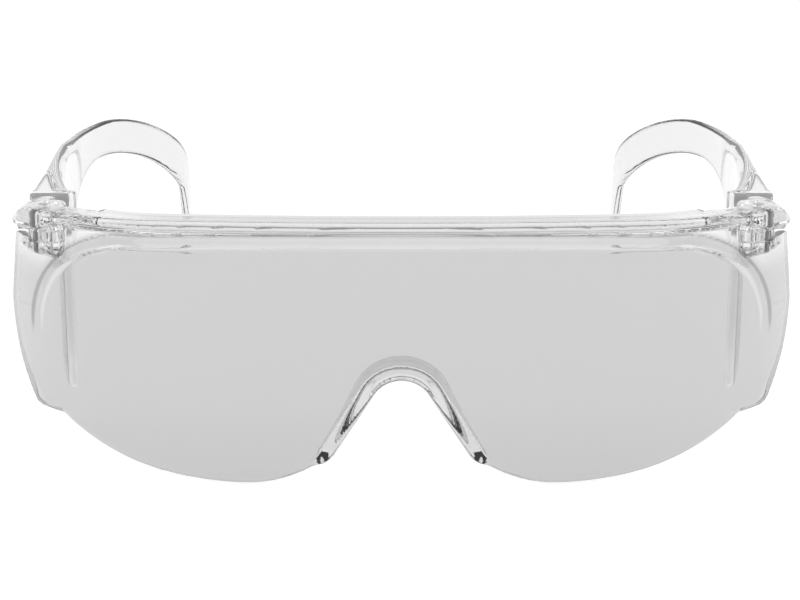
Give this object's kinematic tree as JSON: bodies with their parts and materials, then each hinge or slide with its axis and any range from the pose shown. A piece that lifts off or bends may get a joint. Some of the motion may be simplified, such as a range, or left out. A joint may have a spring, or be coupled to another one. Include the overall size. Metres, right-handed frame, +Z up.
{
  "type": "safety glasses",
  "caption": "Clear wrap-around safety spectacles to wear over other glasses: one-piece raised-window shield with nose arch, and side-shielded temples that fold on steel pins.",
  "frame": {"origin": "centre of the overall box, on the plane it stands on: the lowest points of the shield's two lobes and of both temple tips are at Z = 0", "axes": "-Y is the way the wearer looks, +X is the wearer's left, +Z is up; the shield leans back about 5 degrees as it does when the open spectacles stand on a table"},
  "size_m": [0.1622, 0.1618, 0.053],
  "materials": {
    "clear_window": "polished clear polycarbonate",
    "clear_temple": "polished clear polycarbonate",
    "pin_steel": "plain drawn steel"
  },
  "bodies": {
    "shield": {"front_lens": "clear_window", "left_hinge_pin": "pin_steel", "right_hinge_pin": "pin_steel"},
    "left_arm": {"left_temple": "clear_temple"},
    "right_arm": {"right_temple": "clear_temple"}
  },
  "joints": [
    {"name": "left_temple_fold", "type": "hinge", "parent": "shield", "child": "left_arm", "pos_m": [0.0723, -0.05679, 0.04534], "axis": [0, 0.0903, 0.9959], "range_deg": [0, 86]},
    {"name": "right_temple_fold", "type": "hinge", "parent": "shield", "child": "right_arm", "pos_m": [-0.0723, -0.05679, 0.04534], "axis": [0, -0.0903, -0.9959], "range_deg": [0, 66]}
  ]
}
